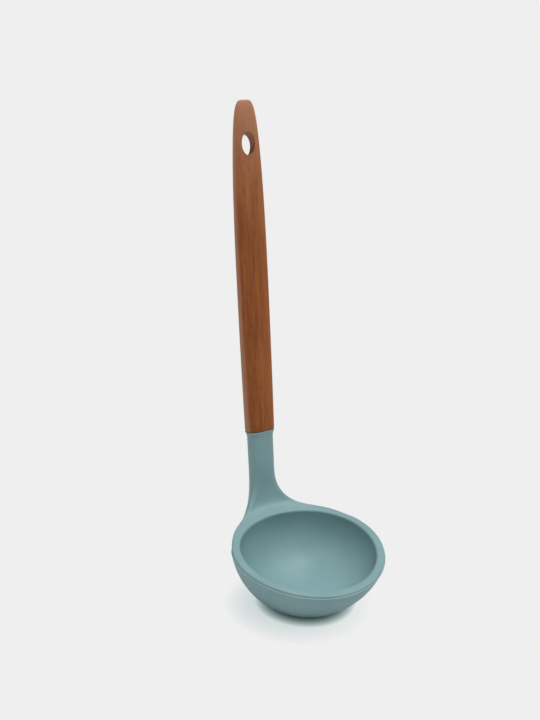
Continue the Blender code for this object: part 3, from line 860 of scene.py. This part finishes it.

# %% [markdown]
# ## Moulded silicone
#
# Kitchen silicone is a rubber with mineral filler and pigment. It comes out of a mould whose
# steel was blasted, so its surface is matt, with a fine even tooth. Its IOR is 1.41. The colour
# differs by a few per cent over some centimetres, where the pigment flowed, and where hands and
# dishes have rubbed it is a little smoother. The flash of the parting line is the same silicone in
# a paler tone: a painted highlight along the thin raised line.

# %% The silicone
FLOW_SPACING = 0.0263  # clouds of pigment
WAVE_SPACING, WAVE_DEPTH = 0.0091, 0.00008  # where the skin isn't quite even
TOOTH_SPACING, TOOTH_DEPTH = 0.000357, 0.00004  # a real one is 0.1 mm, which is too fine to show
SILICONE_ROUGHNESS = (0.50, 0.60)
SILICONE_IOR = 1.41
SKIN_TONES = [(0.3, "#7C9EA1"), (0.7, "#85A6A9")]
# Painted highlight: the parting line's bead is a paler tone of the same silicone.
FLASH_HIGHLIGHT_TONES = [(0.3, "#9DBDBF"), (0.7, "#A6C4C6")]


def make_silicone(name, tones):
    """Moulded silicone whose pigment runs from one tone to another."""
    made, tree = new_material(name)
    place_on = add(tree, "ShaderNodeTexCoord").outputs["Object"]
    flow = add(tree, "ShaderNodeTexNoise", None,
               {"Vector": place_on, "Scale": 1.0 / FLOW_SPACING, "Detail": 2.0, "Roughness": 0.5})
    colour = add(tree, "ShaderNodeValToRGB", {"stops": tones}, {"Fac": flow})
    tooth = add(tree, "ShaderNodeTexNoise", None,
                {"Vector": place_on, "Scale": 1.0 / TOOTH_SPACING, "Detail": 2.0,
                 "Roughness": 0.6})
    waves = add(tree, "ShaderNodeTexNoise", None,
                {"Vector": place_on, "Scale": 1.0 / WAVE_SPACING, "Detail": 1.0})
    soft = add(tree, "ShaderNodeBump", None,
               {"Strength": 0.5, "Distance": WAVE_DEPTH, "Height": waves})
    bump = add(tree, "ShaderNodeBump", None,
               {"Strength": 0.25, "Distance": TOOTH_DEPTH, "Height": tooth, "Normal": soft})
    rough = add(tree, "ShaderNodeMapRange", None,
                {"Value": waves, **spread(0.3, 0.7, *SILICONE_ROUGHNESS)})
    shader = add(tree, "ShaderNodeBsdfPrincipled", None,
                 {"Base Color": colour, "Roughness": rough, "IOR": SILICONE_IOR, "Normal": bump})
    add(tree, "ShaderNodeOutputMaterial", None, {"Surface": shader})
    return made


head.data.materials.append(make_silicone("silicone_moulded_matt", SKIN_TONES))
parting_line.data.materials.append(make_silicone("silicone_flash_painted_highlight", FLASH_HIGHLIGHT_TONES))
print("silicone on", head.name, "and", parting_line.name)

# %% [markdown]
# ## Oiled acacia
#
# The handle is sawn along the grain, sanded and oiled. Seen close, it has broad bands where the
# tree grew faster or slower, narrow streaks, fine fibres, and pores that the saw opened into short
# dark dashes. A picture of wood would stretch on the round edges. Here all four are noise that is
# stretched along the handle and runs right through it, as grain does. A Mapping node first turns
# the pattern by the handle's lean, so that the grain runs true to the axis.

# %% Colour of the grain
GRAIN = {  # width across the grain, length along it, then detail, roughness and distortion
    "bands": (0.0045, 0.080, 2.0, 0.5, 0.6),
    "streaks": (0.0016, 0.030, 3.0, 0.55, 0.3),
    "fibres": (0.00035, 0.009, 2.0, 0.6, 0.0),  # real ones are 0.05 mm wide, too fine to show
    "pores": (0.0005, 0.0050, 1.0, 0.5, 0.0),  # real ones are 0.15 mm wide and 1 to 4 mm long
}
BAND_TONES = [(0.30, "#7F3E1A"), (0.50, "#924B21"), (0.72, "#A45C2B")]
STREAK_TONES = [(0.30, "#6C3418"), (0.62, "#AA6736")]
FIBRE_TONES = [(0.30, "#B8B8B8"), (0.70, "#FFFFFF")]
PORE_TONE = "#44200F"
STREAK_SHARE, FIBRE_SHARE = 0.48, 0.45  # how strongly each is laid over what is under it
PORES = spread(0.36, 0.30, 0.0, 0.6)  # the lowest places of the noise are the pores


def grain_patterns(tree, place_on):
    """Noise for each pattern, with features this wide across the grain and this long along it."""
    made = {}
    for name, (width, length, detail, roughness, distortion) in GRAIN.items():
        scale = (1.0 / width, 1.0 / width, 1.0 / length)
        mapped = add(tree, "ShaderNodeMapping", None, {"Vector": place_on, "Scale": scale})
        made[name] = add(tree, "ShaderNodeTexNoise", None,
                         {"Vector": mapped, "Scale": 1.0, "Detail": detail,
                          "Roughness": roughness, "Distortion": distortion})
    return made


def grain_colour(tree, grain, pore_mask):
    """Bands and streaks mixed, darkened by the fibres, with the pores on top."""
    bands = add(tree, "ShaderNodeValToRGB", {"stops": BAND_TONES}, {"Fac": grain["bands"]})
    streaks = add(tree, "ShaderNodeValToRGB", {"stops": STREAK_TONES}, {"Fac": grain["streaks"]})
    fibres = add(tree, "ShaderNodeValToRGB", {"stops": FIBRE_TONES}, {"Fac": grain["fibres"]})
    board = add(tree, "ShaderNodeMix", COLOURS,
                {"Factor": STREAK_SHARE, MIX_A: bands, MIX_B: streaks}).outputs[MIXED]
    fibred = add(tree, "ShaderNodeMix", {**COLOURS, "blend_type": "MULTIPLY"},
                 {"Factor": FIBRE_SHARE, MIX_A: board, MIX_B: fibres}).outputs[MIXED]
    return add(tree, "ShaderNodeMix", COLOURS,
               {"Factor": pore_mask, MIX_A: fibred, MIX_B: linear(PORE_TONE)}).outputs[MIXED]


print("grain patterns:", {name: sizes[:2] for name, sizes in GRAIN.items()})

# %% [markdown]
# ## Painted light on the wood, and the wall of the hole
#
# The right side of the board is painted paler, as painted light where the key light falls from the
# right. The tip is painted paler towards the top, a painted sheen where its rounded end faces up to
# the light, and so are the edges, a painted sheen where they turn to the sides. In the hole the
# cutter crossed the fibres, and the wall has a tone of its own, paler and greyer than the face. The
# lit side and the tip follow from a point's place. Edges and hole don't, so each point of the
# handle
# keeps two numbers of its own: how far it is turned to a side, and whether it lies in the hole.
# They belong to the shape, so they look the same from every side.

# %% Marks on the handle
CUT_ENDS, CUT_STEP = 1.06, 0.05  # in half widths of the oval: the wall, and the step to the face


def keep_number(piece, name, values):
    """Store a number for each point of the piece, for its material to read."""
    mark = piece.data.attributes.new(name, "FLOAT", "POINT")
    mark.data.foreach_set("value", values)
    print(name, "on", int((values > 0.5).sum()), "of", len(values), "points")


def of_points(piece, what):
    """The places or the normals of a piece's points, as rows."""
    values = np.empty(len(piece.data.vertices) * 3)
    piece.data.vertices.foreach_get(what, values)
    return values.reshape(-1, 3)


def cut_across(piece):
    """1 on the wall of the hole and 0 elsewhere: the oval's own equation."""
    points = of_points(piece, "co") - HOLE_MIDDLE
    oval = np.hypot(points @ ACROSS / (HOLE_WIDTH / 2), points @ UP_HOLE / (HOLE_HEIGHT / 2))
    return np.clip((CUT_ENDS - oval) / CUT_STEP, 0.0, 1.0)


def turned_to_side(piece):
    """0 on the flat faces and 1 where the wood faces straight to a side: one less the share of
    each point's normal that lies along the front-to-back direction."""
    return 1.0 - np.abs(of_points(piece, "normal") @ BACK)


keep_number(handle, "cut_across", cut_across(handle))
keep_number(handle, "turned_to_side", turned_to_side(handle))

# %% Painted light on the side, tip and edges, and the hole's tone
# Painted light: the board is painted paler towards the right, where the key light falls.
LIT_SIDE, LIT_SIDE_TONE = spread(-0.006, 0.011, 0.0, 0.30), "#C0783F"  # to the right
# Painted sheen: the tip is painted paler towards the top, where its rounded end faces the light.
TIP_SHEEN, TIP_SHEEN_POWER, TIP_SHEEN_TONE = spread(0.16, 0.291, 0.0, 0.86), 3.5, "#D4A07F"  # upwards
# Painted sheen on the edges: paler where the surface turns to a side, in one tone left, one right.
EDGE_SHEEN = spread(0.20, 0.60, 0.0, 0.50)  # by how far the surface is turned to a side
EDGE_SHEEN_SIDES = spread(-0.010, 0.010)
EDGE_SHEEN_TONES = [(0.25, "#C08B6B"), (0.75, "#B27E50")]  # the left edge and the right one
# The wall of the hole has a tone of its own, paler and greyer than the face.
CUT_TONE = "#9C6647"


def colour_with_painted_light(tree, raw, grain):
    """The board's colour, changed in turn by painted light on the right side, painted sheen at the
    tip and on the edges, and the hole's own tone.
    """
    where = add(tree, "ShaderNodeSeparateXYZ", None, {"Vector": raw})
    to_side = add(tree, "ShaderNodeAttribute", {"attribute_name": "turned_to_side"})
    in_hole = add(tree, "ShaderNodeAttribute", {"attribute_name": "cut_across"})
    to_lit_side = add(tree, "ShaderNodeMapRange", None, {"Value": where.outputs["X"], **LIT_SIDE})
    to_tip = add(tree, "ShaderNodeMapRange", None, {"Value": where.outputs["Z"], **TIP_SHEEN})
    tip_sheen = add(tree, "ShaderNodeMath", {"operation": "POWER"}, {0: to_tip, 1: TIP_SHEEN_POWER})
    edge = add(tree, "ShaderNodeMapRange", None, {"Value": to_side.outputs["Fac"], **EDGE_SHEEN})
    side = add(tree, "ShaderNodeMapRange", None, {"Value": where.outputs["X"], **EDGE_SHEEN_SIDES})
    edge_sheen_tone = add(tree, "ShaderNodeValToRGB", {"stops": EDGE_SHEEN_TONES}, {"Fac": side})
    colour = grain
    for share, tone in ((to_lit_side, linear(LIT_SIDE_TONE)), (tip_sheen, linear(TIP_SHEEN_TONE)),
                        (edge, edge_sheen_tone), (in_hole.outputs["Fac"], linear(CUT_TONE))):
        colour = add(tree, "ShaderNodeMix", COLOURS,
                     {"Factor": share, MIX_A: colour, MIX_B: tone}).outputs[MIXED]
    return colour


print("the wood turns paler above", TIP_SHEEN["From Min"], "m")

# %% The wood
WOOD_IOR = 1.47
WOOD_GLOSS = 0.2  # open grain breaks up most of the oil's shine
WOOD_ROUGHNESS = spread(0.3, 0.7, 0.50, 0.38)  # by the streaks
FIBRE_DEPTH, PORE_DEPTH = 0.00008, 0.00012


def make_wood():
    """Acacia that is sawn along the grain, sanded and oiled."""
    made, tree = new_material("acacia_sanded_and_oiled")
    raw = add(tree, "ShaderNodeTexCoord").outputs["Object"]
    place_on = add(tree, "ShaderNodeMapping", None, {"Vector": raw, "Rotation": (LEAN, 0.0, 0.0)})
    grain = grain_patterns(tree, place_on)
    pore_mask = add(tree, "ShaderNodeMapRange", None, {"Value": grain["pores"], **PORES})
    colour = colour_with_painted_light(tree, raw, grain_colour(tree, grain, pore_mask))
    fibre_bump = add(tree, "ShaderNodeBump", None,
                     {"Strength": 0.35, "Distance": FIBRE_DEPTH, "Height": grain["fibres"]})
    bump = add(tree, "ShaderNodeBump", {"invert": True},
               {"Strength": 0.4, "Distance": PORE_DEPTH, "Height": pore_mask,
                "Normal": fibre_bump})
    rough = add(tree, "ShaderNodeMapRange", None, {"Value": grain["streaks"], **WOOD_ROUGHNESS})
    shader = add(tree, "ShaderNodeBsdfPrincipled", None,
                 {"Base Color": colour, "Roughness": rough, "IOR": WOOD_IOR,
                  "Specular IOR Level": WOOD_GLOSS, "Normal": bump})
    add(tree, "ShaderNodeOutputMaterial", None, {"Surface": shader})
    return made


handle.data.materials.append(make_wood())
print("wood on", handle.name)

# %% [markdown]
# ## The unseen pieces
#
# The core and the cured glue keep the meshes of the solids. They get materials of their own all
# the same, because the ladle can be shown cut open or taken apart: the core is black nylon with
# glass fibre that shows as faint pale flecks, and the glue is amber and slightly glossy.

# %% The nylon and the glue
NYLON = ("#26292B", "#5A5F60", 0.0006, 0.45, 1.53)  # ground, fleck, spacing, roughness, IOR
EPOXY = ("#A98C54", "#C9B07C", 0.0012, 0.30, 1.55)
FLECK_DEPTH = 0.00005


def make_flecked(name, ground, fleck, spacing, roughness, ior):
    """A plain moulded or cast material with flecks of this spacing, which are a little rougher
    than the ground."""
    made, tree = new_material(name)
    place_on = add(tree, "ShaderNodeTexCoord").outputs["Object"]
    flecks = add(tree, "ShaderNodeTexNoise", None,
                 {"Vector": place_on, "Scale": 1.0 / spacing, "Detail": 3.0, "Roughness": 0.7})
    colour = add(tree, "ShaderNodeValToRGB", {"stops": [(0.45, ground), (0.75, fleck)]},
                 {"Fac": flecks})
    bump = add(tree, "ShaderNodeBump", None,
               {"Strength": 0.3, "Distance": FLECK_DEPTH, "Height": flecks})
    rough = add(tree, "ShaderNodeMapRange", None,
                {"Value": flecks, **spread(0.0, 1.0, roughness - 0.05, roughness + 0.08)})
    shader = add(tree, "ShaderNodeBsdfPrincipled", None,
                 {"Base Color": colour, "Roughness": rough, "IOR": ior, "Normal": bump})
    add(tree, "ShaderNodeOutputMaterial", None, {"Surface": shader})
    return made


def give(node, material):
    """The CAD node's own slots get this material."""
    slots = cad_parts[node].data.materials
    slots.clear()
    slots.append(material)


give("nylon_core", make_flecked("nylon_glass_filled_moulded", *NYLON))
give("tang_adhesive", make_flecked("epoxy_cured_amber", *EPOXY))
print("materials so far:", sorted(material.name for material in bpy.data.materials))

# %% [markdown]
# ## The studio
#
# The real ladle was shown on a white ground under a large soft light above it, a little to the
# right of the camera, with weaker light from all round. Area lights would fade across the floor,
# so each soft box is a sun with a very large disc instead: it lights the whole floor evenly, and
# its disc is as wide in the sky as the soft box would be. The sky that the camera sees has the
# floor's tone, so that no horizon shows. The colours are shown as they are, without the film
# curve that Blender uses for bright outdoor scenes.
#
# White paper is shown so bright that it is one even tone, and only the shade close to the bowl is
# left of all shadows. The paper lights the ladle as real paper does, but the camera sees it in
# that even tone, darkened where the bowl hides the sky above it: Ambient Occlusion measures that.
# It is used twice, for a wide faint shade that lies to the left, and for the dark line where the
# bowl touches the paper.

# %% Floor and light
FLOOR_RINGS = np.array([0.02, 0.1, 0.3, 1.0, 4.0, 15.0, 60.0])
FLOOR_SIDES = 96
FLOOR_COLOUR = "#E7E7E7"  # white paper
FLOOR_SEEN = "#EFEFEF"  # the same paper where the light falls on it
WIDE_SHADE, CLOSE_SHADE = 0.023, 0.0068  # how far the floor is shaded, faintly and deeply
SHADE_TURN = 0.7  # how much the faint shade lies to the left, as the light comes from the right
SHADE_SAMPLES = 32
WIDE_TONES = [(0.10, "#C2D0CF"), (0.80, FLOOR_SEEN)]
CLOSE_TONES = [(0.10, "#3A4A49"), (0.45, "#B7C5C4"), (0.80, "#FFFFFF")]
SOFT_BOXES = {  # power, turn from the camera to the right, height above the floor, width: degrees
    "key": (2.55, 60.0, 68.0, 40.0),
    "left": (0.67, -60.0, 45.0, 40.0),
    "behind": (0.43, 180.0, 60.0, 50.0),
    "left_behind": (0.14, -120.0, 45.0, 40.0),
    "right": (0.16, 90.0, 22.0, 50.0),
}


def make_floor():
    """A large flat disc, as rings of points at growing distances."""
    theta = np.arange(FLOOR_SIDES) * 2 * np.pi / FLOOR_SIDES
    loops = np.stack([np.multiply.outer(FLOOR_RINGS, np.cos(theta)),
                      np.multiply.outer(FLOOR_RINGS, np.sin(theta)),
                      np.zeros((len(FLOOR_RINGS), FLOOR_SIDES))], axis=-1)
    mesh = bpy.data.meshes.new("studio_floor")
    faces = grid_faces(len(FLOOR_RINGS), FLOOR_SIDES, True).tolist() + [list(range(FLOOR_SIDES))]
    mesh.from_pydata(loops.reshape(-1, 3), [], faces)
    made = bpy.data.objects.new("studio_floor", mesh)
    bpy.context.scene.collection.objects.link(made)
    return made


def shade_normal():
    """Straight up, turned to the side the light comes from."""
    side = camera_axes(CAMERA_TURN, 0.0)[0]
    return unit(np.array([0.0, 0.0, 1.0]) + SHADE_TURN * side).tolist()


def make_floor_material():
    """Matt paper that lights the ladle from below, and that is seen as evenly lit, but for the
    soft shade close under the bowl."""
    made, tree = new_material("floor_white_paper")
    paper = add(tree, "ShaderNodeBsdfPrincipled", None,
                {"Base Color": linear(FLOOR_COLOUR), "Roughness": 0.9, "Specular IOR Level": 0.0})
    towards = add(tree, "ShaderNodeCombineXYZ", None, dict(enumerate(shade_normal())))
    wide = add(tree, "ShaderNodeAmbientOcclusion", {"samples": SHADE_SAMPLES},
               {"Distance": WIDE_SHADE, "Normal": towards})
    close = add(tree, "ShaderNodeAmbientOcclusion", {"samples": SHADE_SAMPLES},
                {"Distance": CLOSE_SHADE})
    faint = add(tree, "ShaderNodeValToRGB", {"stops": WIDE_TONES}, {"Fac": wide.outputs["AO"]})
    deep = add(tree, "ShaderNodeValToRGB", {"stops": CLOSE_TONES}, {"Fac": close.outputs["AO"]})
    tone = add(tree, "ShaderNodeMix", {**COLOURS, "blend_type": "MULTIPLY"},
               {"Factor": 1.0, MIX_A: faint, MIX_B: deep})
    seen = add(tree, "ShaderNodeEmission", None, {"Color": tone.outputs[MIXED], "Strength": 1.0})
    path = add(tree, "ShaderNodeLightPath")
    mixed = add(tree, "ShaderNodeMixShader", None,
                {0: path.outputs["Is Camera Ray"], 1: paper, 2: seen})
    add(tree, "ShaderNodeOutputMaterial", None, {"Surface": mixed})
    return made


def make_soft_box(name, power, turn, height, width):
    """A sun with a wide disc. The turn is counted from the camera, as a photographer would."""
    data = bpy.data.lights.new("soft_box_" + name, "SUN")
    data.energy = power
    data.angle = np.radians(width)
    made = bpy.data.objects.new("soft_box_" + name, data)
    bpy.context.scene.collection.objects.link(made)
    towards = camera_axes(CAMERA_TURN + turn, height)[2]
    made.rotation_euler = Vector(-towards).to_track_quat("Z", "Y").to_euler()


def make_sky():
    """A sky that gives no light, and that the camera sees in the floor's tone."""
    world = bpy.data.worlds.new("studio_sky")
    world.use_nodes = True
    tree = world.node_tree
    tree.nodes.clear()
    seen = add(tree, "ShaderNodeBackground", None, {"Color": linear(FLOOR_SEEN), "Strength": 1.0})
    unlit = add(tree, "ShaderNodeBackground", None, {"Color": linear("#000000"), "Strength": 0.0})
    path = add(tree, "ShaderNodeLightPath")
    mixed = add(tree, "ShaderNodeMixShader", None,
                {0: path.outputs["Is Camera Ray"], 1: unlit, 2: seen})
    add(tree, "ShaderNodeOutputWorld", None, {"Surface": mixed})
    bpy.context.scene.world = world


floor = make_floor()
floor.data.materials.append(make_floor_material())
for box_name, box in SOFT_BOXES.items():
    make_soft_box(box_name, *box)
make_sky()
bpy.context.scene.view_settings.view_transform = "Standard"
print("soft boxes:", sorted(SOFT_BOXES), "floor to", FLOOR_RINGS[-1], "m")
